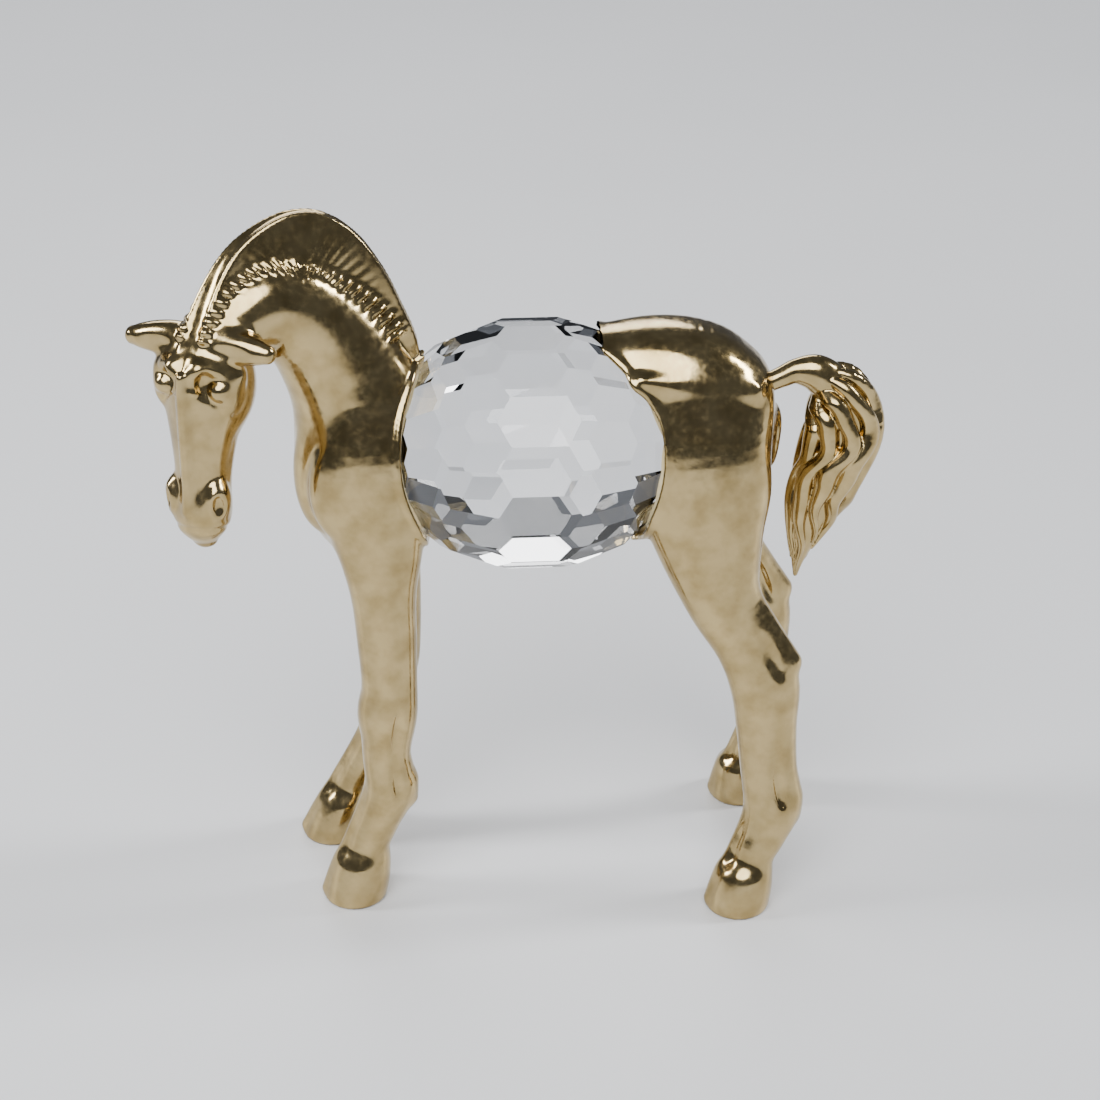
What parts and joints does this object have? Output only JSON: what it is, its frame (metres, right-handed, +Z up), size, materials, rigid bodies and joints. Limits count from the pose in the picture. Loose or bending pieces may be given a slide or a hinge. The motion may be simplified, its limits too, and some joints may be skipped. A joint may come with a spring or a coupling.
{
  "type": "horse figurine",
  "caption": "Small standing horse figurine with a faceted crystal barrel for its body between two gold-plated castings, head turned to its left.",
  "frame": {"origin": "centre of the figurine's bounding box at floor level, under the crystal's middle to within about a millimetre", "axes": "+Z up; the horse faces -X with its tail at +X; its left side, towards which it turns its head, is -Y"},
  "size_m": [0.0414, 0.0158, 0.0416],
  "materials": {
    "gold_plate": "polished",
    "crystal": "polished facets",
    "clear_adhesive": "clear resin",
    "solder": "dull"
  },
  "bodies": {
    "root": {"forequarter_casting": "gold_plate", "hindquarter_casting": "gold_plate", "tail_casting": "gold_plate", "crystal_body": "crystal", "front_adhesive": "clear_adhesive", "rear_adhesive": "clear_adhesive", "tail_solder": "solder"}
  },
  "joints": []
}
